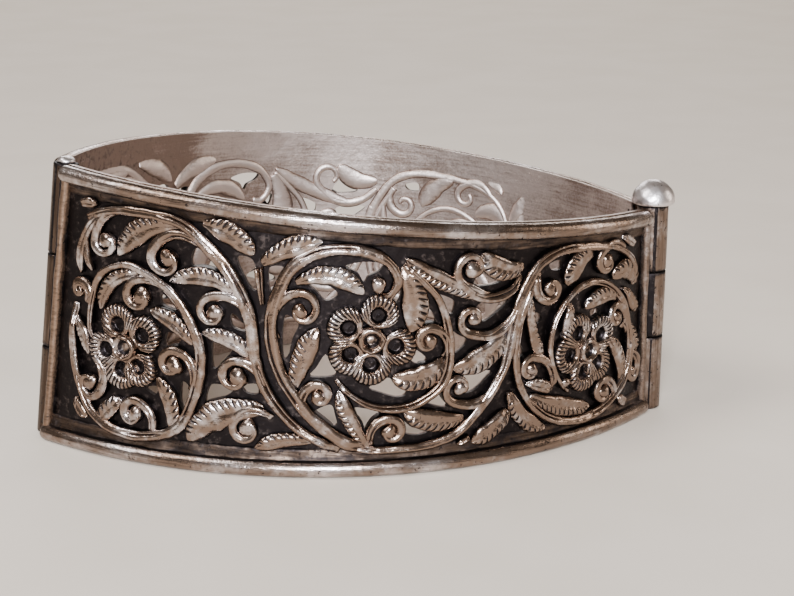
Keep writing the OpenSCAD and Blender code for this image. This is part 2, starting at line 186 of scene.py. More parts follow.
class Curve:
    """A smooth curve through points of the strip, measured by its length."""

    def __init__(self, points, closed=False):
        self.points, self.run = [], [0.0]
        n = len(points)
        spans = n if closed else n - 1
        for i in range(spans):
            a, b, c, d = (self.corner(points, i + k, closed) for k in (-1, 0, 1, 2))
            for k in range(SPAN_STEPS):
                self.points.append(self.bend(a, b, c, d, k / SPAN_STEPS))
        self.points.append(self.corner(points, spans, closed))
        for p, q in zip(self.points, self.points[1:]):
            self.run.append(self.run[-1] + (q - p).length)
        self.length = self.run[-1]
        self.hint = 0

    @staticmethod
    def corner(points, i, closed):
        i = i % len(points) if closed else max(0, min(len(points) - 1, i))
        return Vector(points[i])

    @staticmethod
    def bend(a, b, c, d, t):
        return 0.5 * (2 * b + (c - a) * t + (2 * a - 5 * b + 4 * c - d) * t * t
                      + (3 * b - a - 3 * c + d) * t * t * t)

    def at(self, t):
        """The point at the share t of the length, and the direction to its left."""
        want = max(0.0, min(1.0, t)) * self.length
        i = self.hint if self.run[self.hint] <= want else 0
        while i < len(self.points) - 2 and self.run[i + 1] < want:
            i += 1
        self.hint = i
        p, q = self.points[i], self.points[i + 1]
        span = max(self.run[i + 1] - self.run[i], 1e-6)
        before = self.points[max(i - 1, 0)]
        after = self.points[min(i + 2, len(self.points) - 1)]
        share = (want - self.run[i]) / span
        along = ((q - before) * (1 - share) + (after - p) * share).normalized()
        return p + (q - p) * share, Vector((-along.y, along.x))


def ease(low, high, value):
    """Rises smoothly from 0 to 1 as value goes from low to high."""
    t = max(0.0, min(1.0, (value - low) / (high - low)))
    return t * t * (3 - 2 * t)


def between(table, t):
    """Reads a short table of (t, value) rows, with straight lines between them."""
    for (t0, a), (t1, b) in zip(table, table[1:]):
        if t <= t1:
            return a + (b - a) * (t - t0) / (t1 - t0)
    return table[-1][1]


def uneven(u, v, size, depth):
    """A hand-made unevenness: smooth bumps of the given size in millimetres."""
    return depth * noise.noise(Vector((u / size, v / size, 3.7)))


# %% Flat pieces and how they are wrapped
def new_piece():
    """An empty mesh whose corners keep their oxide, whether they are inside, and their flat place."""
    bm = bmesh.new()
    bm.verts.layers.float.new("oxide_and_shade")
    bm.verts.layers.float.new("inner")
    bm.verts.layers.float_vector.new("flat")
    return bm


def swept(bm, rows, columns, place):
    """A grid joined to itself round its columns; place(t, column) gives each (u, v, h, oxide)."""
    oxide_and_shade, inner = bm.verts.layers.float["oxide_and_shade"], bm.verts.layers.float["inner"]
    grid = bmesh.ops.create_grid(bm, x_segments=rows, y_segments=columns, size=0.5)["verts"]
    for corner in sorted(grid, key=lambda c: c.co.x):
        u, v, h, dark = place(corner.co.x + 0.5, round((corner.co.y + 0.5) * columns) % columns)
        corner.co = (u, v, h)
        corner[oxide_and_shade] = dark
        corner[inner] = ease(-0.3, -0.45, h)
    bmesh.ops.remove_doubles(bm, verts=grid, dist=1e-4)


def strand(bm, curve, breadth, section, pitch=0.25, rise=lambda t: 1.0, chase=None):
    """A closed section, rows of (side, height, oxide), drawn along a curve of the given breadths."""
    rows = max(6, round(curve.length / pitch))

    def place(t, column):
        side, h, dark = section[column]
        point, left = curve.at(t)
        wide = breadth(t) * (1 + uneven(point.x, point.y, 1.3, 0.16))
        point = point + left * side * wide / 2
        if chase:
            h, dark = chase(t, side, h, dark)
        if h > 0:
            h = (h * rise(t) + uneven(point.x, point.y, 0.8, 0.05)
                 + uneven(point.x, point.y, 2.2, 0.09))
            h += side * uneven(point.x, point.y + 20, 2.6, 0.2)
        return point.x, point.y, h, dark

    swept(bm, rows, len(section), place)


# inside, the ornament's backs stand out past LEVEL_IN by up to RELIEF_IN, but not near the rims, nor
# beyond SMOOTH_FROM, which only the back half reaches
LEVEL_IN = -0.47
RELIEF_IN = 0.45
SMOOTH_FROM = 69.5


def wrap(bm, half):
    """Bends a flat piece on to the wall of a half."""
    flat = bm.verts.layers.float_vector["flat"]
    for corner in bm.verts:
        u, v, h = corner.co
        relief = RELIEF_IN * ease(2.6, 4.0, half.rim(u) - abs(v))
        relief *= ease(SMOOTH_FROM + 1, SMOOTH_FROM, u)
        corner.co.z = max(h, LEVEL_IN - relief)
        corner[flat] = corner.co * MM
        corner.co = half.wall(*corner.co)
    if half.side < 0:
        bmesh.ops.reverse_faces(bm, faces=bm.faces)


def fill_holes(bm):
    bmesh.ops.holes_fill(bm, edges=[e for e in bm.edges if e.is_boundary], sides=0)


def trim(bm, half):
    """Cuts a wrapped piece off at both ends of its half, and closes the cuts."""
    for side, y in zip((-1, 1), half.ends):
        near = [f for f in bm.faces if f.calc_center_median().x * side > 0]
        # each part once, and in the same order in every run, which a set wouldn't keep
        parts = dict.fromkeys(part for f in near for part in (f, *f.edges, *f.verts))
        bmesh.ops.bisect_plane(bm, geom=list(parts), dist=1e-9, plane_co=(0, (y + SEAT_Y) * MM, 0),
                               plane_no=(0, half.side, 0), clear_outer=True)
        fill_holes(bm)


def to_mesh(bm, name):
    mesh = bpy.data.meshes.new(name)
    bm.to_mesh(mesh)
    bm.free()
    return mesh


def finish(bm, name, half_body, material, slot="chased_silver", crease=180):
    """Makes the object, sharp where faces meet past the crease angle, with its material, and gives it
    to its body. The slot is not used.
    """
    for face in bm.faces:
        face.smooth = True
    for edge in bm.edges:
        edge.smooth = not edge.is_manifold or edge.calc_face_angle() < radians(crease)
    mesh = to_mesh(bm, name)
    mesh.materials.append(material)
    piece = add_object(name, mesh)
    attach(piece, half_body)
    print(name, "triangles", sum(len(p.vertices) - 2 for p in mesh.polygons))
    return piece


def fit(bm, half, part, material, trimmed=False, crease=180):
    """Closes a flat piece, turns its faces outwards, wraps it on its half and makes the object."""
    fill_holes(bm)
    bmesh.ops.recalc_face_normals(bm, faces=bm.faces)
    wrap(bm, half)
    if trimmed:
        trim(bm, half)
    return finish(bm, half.name + "_" + part, half.name, material, crease=crease)


# %% [markdown]
# ## The finishes
#
# All of the bangle is one alloy. What differs is how dark it is: black in the recesses, warm and a
# little dull where hands have worn it, bright on the crowns. The finish reads the darkness kept in
# each corner, breaks its edge up with noise, and mixes worn silver with silver sulphide.

# %% Expressions on sockets
class Value:
    """A socket that adds a Math node when it is used in an expression."""

    def __init__(self, finish, socket):
        self.finish, self.socket = finish, socket

    def math(self, operation, first, second):
        return self.finish.node("ShaderNodeMath", {"operation": operation}, [first, second])

    def __add__(self, other):
        return self.math("ADD", self, other)

    def __sub__(self, other):
        return self.math("SUBTRACT", self, other)

    def __mul__(self, other):
        return self.math("MULTIPLY", self, other)

    def __radd__(self, other):
        return self.math("ADD", other, self)

    def __rsub__(self, other):
        return self.math("SUBTRACT", other, self)

    def __rmul__(self, other):
        return self.math("MULTIPLY", other, self)


class Finish:
    """A material with one Principled shader, whose nodes come from expressions."""

    def __init__(self, name):
        self.material = bpy.data.materials.new(name)
        self.material.use_nodes = True
        self.tree = self.material.node_tree
        self.shader = self.tree.nodes["Principled BSDF"]

    def node(self, kind, settings=None, values=(), output=0):
        """Any node: its settings first, then the values or links of its sockets."""
        made = self.tree.nodes.new(kind)
        for key, setting in (settings or {}).items():
            setattr(made, key, setting)
        pairs = values.items() if isinstance(values, dict) else enumerate(values)
        for key, value in pairs:
            self.set(made.inputs[key], value)
        return Value(self, made.outputs[output])

    def set(self, socket, value):
        if isinstance(value, Value):
            self.tree.links.new(value.socket, socket)
        else:
            socket.default_value = value

    def into(self, name, value):
        self.set(self.shader.inputs[name], value)

    def place(self):
        return self.node("ShaderNodeTexCoord", output="Object")

    def kept(self, name, output="Fac"):
        """What each corner of the mesh keeps under a name."""
        return self.node("ShaderNodeAttribute", {"attribute_name": name}, output=output)

    def noise(self, where, scale, detail, rough):
        values = {"Vector": where, "Scale": scale, "Detail": detail, "Roughness": rough}
        return self.node("ShaderNodeTexNoise", values=values, output="Fac")

    def step(self, value, low, high):
        """0 below low, 1 above high, smooth between."""
        return self.node("ShaderNodeMapRange", {"interpolation_type": "SMOOTHSTEP"},
                         {"Value": value, "From Min": low, "From Max": high})

    def mix(self, share, first, second):
        """A mix of two colours."""
        values = {0: share, 6: first, 7: second}
        return self.node("ShaderNodeMix", {"data_type": "RGBA"}, values, output=2)


# %% Worn silver
SILVER = (0.78, 0.735, 0.745, 1)
SILVER_WARM = (0.23, 0.165, 0.13, 1)
SULPHIDE = (0.018, 0.015, 0.016, 1)
RUBBED = (0.16, 0.13, 0.125, 1)
SULPHIDE_BROWN = (0.028, 0.023, 0.023, 1)
SMOKED = (0.070, 0.048, 0.036, 1)
INNER = (0.66, 0.57, 0.53, 1)
# the inside's darker colour, for dull haze in patches and for painted shade towards the hinge
INNER_DULL_AND_SHADE = (0.27, 0.20, 0.165, 1)
COPPERY = (0.34, 0.22, 0.15, 1)


def worn_silver(name, warmth, gloss, copper=0.0, streaks=0.0, smoke=0.0, soft=0.11):
    """Silver polished on its crowns, warm where it is worn and black where its oxide value is high.

    Smoke is the share that has gone brown in streaks, and soft how gradually the black begins.
    """
    made = Finish(name)
    where = made.place()
    cloud = made.noise(where, 130, 4, 0.6)
    blotch = made.noise(where, 620, 3, 0.6)
    grain = made.noise(where, 1500, 3, 0.6)
    speck = made.noise(where, 4200, 2, 0.7)
    along = {"Vector": made.kept("flat", "Vector"), "Scale": (0.06, 1, 1)}
    brushed = made.noise(made.node("ShaderNodeMapping", values=along), 3600, 4, 0.65)
    oxide_and_shade = made.kept("oxide_and_shade")
    nicks = made.step(made.noise(where, 2100, 2, 0.8), 0.62, 0.68)
    inner = made.kept("inner")
    edge = oxide_and_shade + (grain - 0.5) * 0.6 + (speck - 0.5) * 0.3 + nicks * (1 - inner) * 0.45
    if streaks:
        edge = edge + (brushed - 0.5) * streaks
    black = made.step(edge, 0.51 - soft, 0.51 + soft)
    patches = (blotch - 0.5) * max(0.1, 1 - 1.8 * streaks)
    tone = made.step(cloud + patches * 0.8 + (grain - 0.5) * 0.35, 0.5 - warmth, 0.95 - warmth)
    silver = made.mix(tone, SILVER, SILVER_WARM)
    if copper:
        silver = made.mix(copper, silver, COPPERY)
    if streaks:
        silver = made.mix(made.step(brushed, 0.5, 0.72) * 0.55, silver, SULPHIDE_BROWN)
    if smoke:
        silver = made.mix((brushed - 0.5) * 1.6 + (cloud - 0.5) * 0.6 + smoke, silver, SMOKED)
    sulphide = made.mix(made.step(grain, 0.45, 0.75), SULPHIDE, SULPHIDE_BROWN)
    rubbed = made.step(blotch * 0.4 + grain * 0.6 + (speck - 0.5) * 0.3, 0.54, 0.7) * 0.45
    sulphide = made.mix(rubbed, sulphide, RUBBED)
    # on the inside the kept darkness also holds painted shade towards the hinge, which turns the inside
    # dull and partly black there
    haze_and_shade = cloud + (speck - 0.5) * 0.4 + (brushed - 0.5) * 0.5 + (oxide_and_shade - 0.18) * 1.4
    inside = made.mix(made.step(haze_and_shade, 0.35, 0.75), INNER, INNER_DULL_AND_SHADE)
    metal = made.mix(inner, made.mix(black, silver, sulphide), made.mix(black * 0.8, inside, sulphide))
    made.into("Base Color", metal)
    made.into("Metallic", 1.0)
    made.into("Roughness", gloss + grain * 0.14 + black * 0.16 + inner * 0.26)
    relief = grain * 0.5 + speck * 0.25 + brushed * (0.3 + streaks) + patches * 1.2
    bump = {"Height": relief, "Strength": 0.5, "Distance": 0.00012}
    made.into("Normal", made.node("ShaderNodeBump", values=bump))
    return made.material


CHASED = worn_silver("chased_silver", warmth=0.42, gloss=0.15)
PLAIN = worn_silver("plain_silver", warmth=0.02, gloss=0.3)
WIRE = worn_silver("wire_silver", warmth=0.34, gloss=0.18, streaks=0.5, smoke=0.06)
HINGE_METAL = worn_silver("hinge_silver", warmth=0.5, gloss=0.3, copper=0.25, streaks=0.4, smoke=0.9)
CLASP_METAL = worn_silver("clasp_silver", warmth=0.4, gloss=0.26, streaks=0.3, smoke=0.3)
BORDER_METAL = worn_silver("scraped_border", warmth=0.5, gloss=0.32, streaks=0.4, smoke=0.76,
                           soft=0.35)
HINGE_STRIP = worn_silver("coppery_strip", warmth=0.5, gloss=0.3, copper=0.6, streaks=0.3, smoke=0.3)
print("finishes", [m.name for m in bpy.data.materials])

# %% [markdown]
# ## The pierced sheet
#
# The ground of the ornament is one sheet, sawn through between the scrolls. Its outline and the
# outlines of the gaps are drawn as closed curves, filled with triangles around the gaps, cut every
# millimetre so that it can bend, and given its thickness. It is black, apart from worn places. Inside
# it is a duller silver, with painted shade that darkens it towards the hinge.

# %% Gaps, each a few corners (u, v) that a smooth outline runs through
GAPS = [
    [(17.4, 8.2), (18.1, 8.6), (19.8, 7.4), (20.2, 6.9), (18.2, 6.7), (17.3, 6.9)],
    [(22, 8.2), (23.6, 8.1), (24.2, 6), (23.9, 5), (22.9, 6.2)],
    [(14.3, 3.5), (16.4, 2.2), (15.6, 2.1), (14.2, 2.5)],
    [(15, -0.3), (16.6, -0.6), (16, -1.6), (14.9, -1.8)],
    [(20.1, -0.2), (22, -0.9), (21.2, -2.2), (20.2, -3.3), (19.9, -1.8)],
    [(20, -4.9), (22.3, -5.1), (21, -6.3), (19.5, -7.1)],
    [(16.8, -5.2), (17.7, -5.5), (17.6, -7), (17, -8.4)],
    [(21.8, 2.6), (23.4, 1.2), (22.9, 0.9), (21.8, 1.3)],
    [(23.2, -4.6), (24.6, -4.3), (24.8, -5.3), (23.6, -5.3)],
    [(12.9, -6.4), (14.3, -6), (14, -7)],
    [(25.3, 7.5), (27, 7.4), (25.9, 4.9), (25.4, 5.4)],
    [(32.7, 8.1), (34.5, 8.6), (36.4, 8.4), (36, 7.7), (35, 7.2), (34.6, 6.6), (33.9, 7.5)],
    [(29.2, 6.2), (31.3, 6), (32.1, 5.2), (31, 4.6), (30, 5.5)],
    [(36.4, 5.1), (38.2, 6), (38.2, 5), (37.6, 4.4)],
    [(27.1, 2.9), (28.2, 2.4), (28.4, 1.8), (27.9, 0.6), (27.6, -1), (27.1, -1.4), (26.9, 1)],
    [(31.2, -0.8), (31.9, -1.8), (32.2, -2.9), (29.8, -3.1), (30.4, -2.1)],
    [(35.6, -4), (37.2, -3), (38.2, -3.5), (39.4, -4.6), (38.4, -5), (36.6, -4.5)],
    [(30.2, -6.9), (31, -6.2), (32, -5.9), (32.4, -6.9), (32.6, -8), (31.3, -7.6)],
    [(34.2, -6.1), (36.8, -6.6), (36.4, -7.8), (35.6, -8.6), (35.1, -7.5)],
    [(39.1, -7.4), (40, -8.1), (41.8, -8.6), (40.5, -9), (39.2, -8.6)],
    [(40.9, 4), (41.6, 3.6), (42, 2.7), (41.8, 1.8), (40.9, 2.5)],
    [(39.9, -0.1), (41.3, -1.2), (40.2, -1.6), (39.4, -0.9)],
    [(42, 5.4), (43.9, 4.6), (43.6, 3.3), (42.8, 4.2)],
    [(43.6, 1.5), (44.4, 1.2), (45.5, 0.4), (43.7, -0.8)],
    [(46.9, 7.9), (47.6, 7.6), (49, 6.4), (46.8, 6), (45.8, 6.3)],
    [(46.3, 3.9), (47.4, 4.5), (49.2, 4.6), (50, 4.4), (48.6, 3.2), (47, 2.4)],
    [(45.5, -2.7), (48.3, -2.8), (48, -3.4), (46.4, -4.7), (45.2, -4.7)],
    [(42.5, -4.2), (43.3, -5), (43.6, -6.2), (42, -5.9), (41.3, -5.4)],
    [(51.2, -0.1), (51.9, -0.8), (52, -1.5), (51.1, -1.6)],
    [(54.8, 7.6), (56.3, 7.9), (56.5, 7), (55.3, 6.9)],
    [(53.2, 2.8), (54.1, 2.3), (53.8, 1.6), (53.2, 1.8)],
    [(61.1, 2), (62.5, 1.9), (62.2, 1.3), (61.2, 1.2)],
]
SHEET_EXTRA = 2.5
SHEET_STEPS = 60
GAP_STEPS = 6
UNDER_WIRE = 0.06
# the sheet's lengthwise rows of edges: this far in from the rims, and at these heights
CUTS_BY_RIM = (1.75, 1.0)
CUTS_LEVEL = range(-10, 11, 2)


def loop(bm, corners):
    """A closed loop of edges on the outside of the sheet."""
    ring = [bm.verts.new((u, v, SHEET_OUT)) for u, v in corners]
    return [bm.edges.new(pair) for pair in zip(ring, ring[1:] + ring[:1])]


def cut(bm, place, across):
    """A row of edges where the plane through the place, square to across, meets the sheet."""
    bmesh.ops.bisect_plane(bm, geom=bm.verts[:] + bm.edges[:] + bm.faces[:], dist=1e-5,
                           plane_co=place, plane_no=across)


def pierced_sheet(half):
    """The sheet of one half, longer than needed, so that it can be trimmed at both ends."""
    bm = new_piece()
    low, high = -SHEET_EXTRA, half.length + SHEET_EXTRA
    along = [low + (high - low) * i / SHEET_STEPS for i in range(SHEET_STEPS + 1)]
    edges = loop(bm, [(u, half.rim(u) - UNDER_WIRE) for u in along]
                 + [(u, UNDER_WIRE - half.rim(u)) for u in reversed(along)])
    for gap in GAPS:
        curve, steps = Curve(gap, closed=True), GAP_STEPS * len(gap)
        edges += loop(bm, [curve.at(i / steps)[0] for i in range(steps)])
    bmesh.ops.triangle_fill(bm, edges=edges, use_beauty=True, normal=(0, 0, 1))
    for side in (1, -1):
        for inset in CUTS_BY_RIM:
            first, last = (side * (half.rim(u) - inset) for u in (0, half.length))
            cut(bm, (0, first, 0), (first - last, half.length, 0))
    for step in range(1, int(high - low)):
        cut(bm, (low + step, 0, 0), (1, 0, 0))
    for v in CUTS_LEVEL:
        cut(bm, (0, v, 0), (0, 1, 0))
    bmesh.ops.recalc_face_normals(bm, faces=bm.faces)
    for part in bmesh.ops.extrude_face_region(bm, geom=bm.faces[:])["geom"]:
        if isinstance(part, bmesh.types.BMVert):
            part.co.z = SHEET_IN
    oxide_and_shade, inner = bm.verts.layers.float["oxide_and_shade"], bm.verts.layers.float["inner"]
    for corner in bm.verts:
        u, v, h = corner.co
        from_rim = half.rim(u) - abs(v)
        if h > 0:
            corner[oxide_and_shade] = 1.0 - 0.8 * ease(0.9, 0.4, from_rim)
            corner.co.z = SHEET_OUT - 0.15 * ease(1.2, 0.6, from_rim)
        else:
            corner[inner] = 1.0
            # inside: painted shade, darker towards the hinge (small u), and a little lighter within
            # about 3 mm of the rims
            corner[oxide_and_shade] = (0.18 + 0.32 * ease(44, 8, u)) * (0.85 + 0.15 * ease(2.2, 3.2, from_rim))
    return fit(bm, half, "sheet", CHASED, trimmed=True, crease=50)


# %% [markdown]
# ## Rims, border and end strips
#
# A round wire is soldered along each rim, outside the sheet, with the sheet's own edge showing beside
# it as a thin line. Inside the wires the sheet keeps a low rough border. Each end is closed by a
# half-round strip, which has gone coppery at the hinge and is grey at the clasp. The borders and the
# strips are strands, each with its own section.

# %% Sections: side from -1 to 1, height in mm, oxide from 0 to 1
ROUND = [(-cos(2 * pi * k / 20), sin(2 * pi * k / 20)) for k in range(20)]
BORDER_SECTION = [
    (-1, -0.2, 1), (-1, 0.1, 0.95), (-0.85, 0.28, 0.65), (-0.5, 0.34, 0.52), (0, 0.38, 0.5),
    (0.5, 0.44, 0.5), (0.8, 0.5, 0.54), (0.95, 0.52, 0.6), (1, 0.45, 0.7), (1, -0.2, 1),
]
STRIP_SECTION = [
    (-1, -0.5, 0.6), (-1, 0.05, 0.8), (-0.94, 0.42, 0.6), (-0.7, 0.74, 0.1), (-0.25, 0.9, 0),
    (0.25, 0.9, 0), (0.65, 0.78, 0), (0.92, 0.46, 0.2), (1, 0.05, 0.8), (1, -0.5, 0.6),
]
WIRE_ROUND_OFF = 0.45
BORDER_INSET = 2.22
BORDER_BREADTH = 1.2
STRIP_INSET = 0.5


def rim_wires(half):
    """Both round wires of a half, rounded off at their ends, with the small dents of long wear."""
    bm = new_piece()
    for side in (1, -1):
        first, last = (end_u(half, side * BAND_H / 2, at_clasp) for at_clasp in (False, True))

        def place(t, column):
            u = first + (last - first) * t
            past = max(0, 1 - min(u - first, last - u) / WIRE_ROUND_OFF)
            across, up = ROUND[column]
            radius = WIRE_R * sqrt(max(0.02, 1 - past ** 2))
            radius *= 0.98 + uneven(u, side * 9.0, 2.5, 0.035)
            v = side * (half.rim(u) - WIRE_R - 0.02) + up * radius
            dirt = 0.7 * ease(-0.72, -0.98, up * side) * ease(0.6, -0.2, across)
            return u, v, WIRE_OUT - across * radius, dirt + 0.14

        swept(bm, round(half.length * 4), len(ROUND), place)
    return fit(bm, half, "rim_wires", WIRE)


def scrape(t, side, h, dark):
    """Rough patches of a border, worn bright here and there."""
    worn = noise.noise(Vector((t * 16, side, 5.1))) + 0.6 * noise.noise(Vector((t * 70, side * 2, 8.4)))
    dent = 0.12 * abs(noise.noise(Vector((t * 110, side * 2, 1.3))))
    return h - dent * (h > 0.2), dark - 0.45 * worn * (dark < 0.7)


def borders(half):
    """The low rough borders inside the wires."""
    bm = new_piece()
    for side in (1, -1):
        along = (-3, half.length / 3, half.length * 2 / 3, half.length + 3)
        route = [(u, side * (half.rim(u) - BORDER_INSET)) for u in along]
        strand(bm, Curve(route[::side]), lambda t: BORDER_BREADTH, BORDER_SECTION, chase=scrape)
    return fit(bm, half, "borders", BORDER_METAL, trimmed=True)


def end_u(half, v, at_clasp):
    """Where the sheet ends, on the strip, at the height v."""
    short = (abs(half.ends[at_clasp]) + v * SLOPE * cos(half.turn)) / sin(half.turn)
    return half.length - short if at_clasp else short


def end_strip(half, at_clasp):
    """The half-round strip at one end of a half."""
    if at_clasp:
        part, metal, breadth, inward, end = "clasp_strip", CLASP_METAL, 0.72, -1, half.length
    else:
        part, metal, breadth, inward, end = "hinge_strip", HINGE_STRIP, 1.0, 1, 0
    bm = new_piece()
    reach = half.rim(end) - 0.9
    route = [(end_u(half, v, at_clasp) + inward * STRIP_INSET, v)
             for v in (-reach, -reach / 3, reach / 3, reach)]
    strand(bm, Curve(route[::-inward]), lambda t: breadth, STRIP_SECTION, 0.4)
    return fit(bm, half, part, metal)


# %% [markdown]
# ## Stems
#
# The stems are two bright ridges with a dark groove between them. They swell where they bear leaves
# and thin to their ends. Their backs are rounded, because the inside of the bangle shows them too.

# %% Stem section and routes
UNDERSIDE = [
    (1, -0.45, 0.62), (0.72, -0.66, 0.2), (0.3, -0.8, 0), (-0.3, -0.8, 0), (-0.72, -0.66, 0.2),
    (-1, -0.45, 0.62),
]
STEM_SECTION = [
    (-1, -0.1, 1), (-1, 0.4, 1), (-0.97, 0.6, 0.8), (-0.88, 0.78, 0.25), (-0.72, 0.9, 0),
    (-0.45, 0.99, 0), (-0.15, 1.0, 0), (0.1, 0.93, 0.05), (0.22, 0.8, 0.4), (0.32, 0.46, 1),
    (0.42, 0.78, 0.35), (0.54, 0.87, 0), (0.74, 0.84, 0), (0.9, 0.7, 0.3), (0.97, 0.54, 0.85),
    (1, 0.36, 1), (1, -0.1, 1),
] + UNDERSIDE

# breadths at start, middle and end, then the route from the root
STEMS = [
    ((0.9, 1.4, 0.9), [  # trunk
        (5, 9.7), (8, 11), (12, 11.4), (16, 11), (19, 9.1), (21.9, 6.1), (23.7, 2.4), (24.4, -1.6),
        (25.9, -5.1), (28.8, -8.3), (33, -10.5)]),
    ((1.3, 1.4, 0.9), [  # middle scroll
        (35.5, -10.3), (33, -9.3), (30, -7), (28, -4.5), (26.6, -2), (25.8, 1), (25.9, 3.5),
        (27.2, 7.2), (29, 8.9), (31.5, 9.8), (34.5, 9.7), (36.7, 8.8), (37.8, 7.2), (37.6, 6),
        (36.8, 5.2), (35.8, 5.3)]),
    ((0.5, 1.15, 0.6), [  # middle ring
        (32.3, -3.3), (34, -4.8), (36, -5.8), (38.5, -6), (41, -5.2), (43, -3.2), (43.4, 0.5),
        (42.3, 4.5), (40.5, 6.7), (38.5, 8.5)]),
    ((0.7, 1.3, 0.7), [  # right branch
        (34.5, -10.3), (38, -10.2), (42, -9.8), (44.5, -8.8), (46.3, -7.2), (48, -5), (49.5, -2.3),
        (50.2, 1), (50.8, 3.8), (51.8, 6), (53.3, 7.9), (55.5, 8.9), (58, 9.1), (61, 8.9), (64, 8.4),
        (66.2, 7.4), (67.6, 5.9), (68.5, 3.8)]),
    ((0.8, 1.1, 0.5), [  # right scroll
        (53.5, 7), (51.7, 4), (50.9, 1), (50.8, -2), (51.5, -4.7), (53.2, -7), (55.5, -8.6),
        (58.5, -9.4), (61.5, -9.2), (64, -8.4), (66.3, -6.8), (67.4, -4.8), (67.5, -2.5), (66.8, 0),
        (65.6, 2.4), (63.5, 4.3), (61, 5.2), (58.8, 4.9), (57, 3.8), (55.6, 2), (55, 0), (55.1, -2),
        (55.8, -3.9), (57, -5.4), (58.2, -6.2)]),
    ((0.8, 1.3, 0.5), [  # left scroll
        (4, 0.8), (4, -3), (5, -6.8), (7, -10), (10.5, -11.4), (14.5, -11), (17, -9.6), (18.4, -6.5),
        (19, -3), (18.6, -0.5), (17.4, 1.8), (15.5, 4), (13, 5.3), (10.5, 5.9), (8.3, 5.2), (6.9, 3.7),
        (6.3, 1.2), (6.2, -1.5), (6.4, -3)]),
    ((0.9, 0.7, 0.4), [  # spur
        (24.3, 7.5), (24.6, 5.5), (24.9, 3.8)]),
]

# the back half is longer, so its strip goes on with one more scroll before the clasp
CLOSING_STEMS = [
    ((0.7, 1.5, 0.6), [  # closing scroll
        (62.5, -9.3), (66.5, -9.4), (70.5, -8.6), (73.6, -6.4), (75, -2.8), (74.8, 0.8), (76, 4.2),
        (78.6, 6.8), (82, 7.5), (85, 6.3), (86.5, 3.4), (86.3, 0), (84.8, -2.2), (82.2, -2.8),
        (80.3, -1.2), (80.3, 1.2), (81.9, 2.3)]),
    ((0.7, 1, 0.5), [  # closing spray
        (73.2, -6.8), (77, -8), (80.5, -8.1), (83.6, -7.2), (85.9, -5.2)]),
]
STEM_GROOVE = 0.32


def all_of(table, closing, half):
    """The rows that both halves have, and on the back half those of its closing stretch as well."""
    return table + (closing if half.side < 0 else [])


def stems(half):
    bm = new_piece()
    for number, (breadths, route) in enumerate(all_of(STEMS, CLOSING_STEMS, half)):
        table = list(zip((0, 0.5, 1), breadths))
        curve = Curve(route)

        def chase(t, side, h, dark):
            """The groove comes and goes along the stem."""
            if h < 0 or abs(side - STEM_GROOVE) > 0.15:
                return h, dark
            share = ease(-0.05, 0.15, noise.noise(Vector((t * curve.length / 6, number, 2.2))))
            return 0.92 - (0.92 - h) * share, dark * share

        strand(bm, curve, lambda t: 1.02 * between(table, t), STEM_SECTION, 0.2, chase=chase,
               rise=lambda t: 0.35 + 0.65 * min(ease(0, 0.05, t), ease(1, 0.96, t)))
    return fit(bm, half, "stems", CHASED)


# %% [markdown]
# ## Curls
#
# Side shoots leave a stem, curl once round and end in a ball. Each is a strand on a ring that
# tightens, with one ridge near its outer side, and a flattened ball in the middle.

# %% Curls: centre, radius, tail, sense (1 is anticlockwise), ball radius
CURL_SECTION = [
    (-1, -0.1, 1), (-1, 0.36, 1), (-0.96, 0.56, 0.75), (-0.86, 0.72, 0.2), (-0.62, 0.87, 0),
    (-0.34, 0.95, 0), (-0.05, 0.93, 0), (0.12, 0.82, 0.35), (0.24, 0.55, 1), (0.36, 0.78, 0.35),
    (0.52, 0.84, 0), (0.78, 0.76, 0.05), (0.93, 0.58, 0.65), (1, 0.36, 1), (1, -0.1, 1),
] + UNDERSIDE
CURLS = [
    ((7.8, 7.9), 1.5, (11.5, 10.9), 1, 0.7), ((15, 7.3), 1.8, (18.6, 8.7), 1, 0.75),
    ((12.2, 3), 1.7, (16.3, 2.2), 1, 0.8), ((16.2, -3.4), 1.5, (18, -5.8), 1, 0.75),
    ((12.1, -9.2), 1.4, (13.9, -11.2), 1, 0.65), ((6.5, -7), 1.5, (6.2, -3.8), -1, 0.65),
    ((4.8, 2.3), 0.9, (5.6, 0.8), 1, 0.4), ((20.2, 2.6), 1.6, (24.2, 1), 1, 0.65),
    ((22.8, -3.7), 1.7, (25.2, -5.2), 1, 0.8), ((24, -8.7), 1.5, (26.3, -7.6), 1, 0.7),
    ((28.5, 3.5), 1.8, (26.4, 0.5), -1, 0.6), ((30.6, -5), 1.2, (29.6, -6.8), -1, 0.85),
    ((41.4, 0.8), 1.3, (43, -1), 1, 0.6), ((37.7, -8.4), 1.3, (36, -9.9), -1, 0.75),
    ((44.8, -4.2), 1.6, (49.2, -2.6), -1, 0.6), ((45.9, 2.8), 1.5, (50.8, 4.6), -1, 0.55),
    ((45.6, 7.8), 1.8, (51.3, 6.8), -1, 0.8), ((54.6, 5.2), 1.3, (53.4, 7), 1, 0.7),
    ((62.8, 7.1), 1.3, (66, 7.4), 1, 0.65), ((64.9, 0.8), 1.2, (66.4, -0.8), 1, 0.5),
    ((63.3, -7.1), 1.25, (64.9, -8.2), 1, 0.6), ((52.8, -3), 1.2, (55.5, -5.6), 1, 0.6),
    ((68.3, -5.8), 1, (67.3, -3.6), -1, 0.45),
]
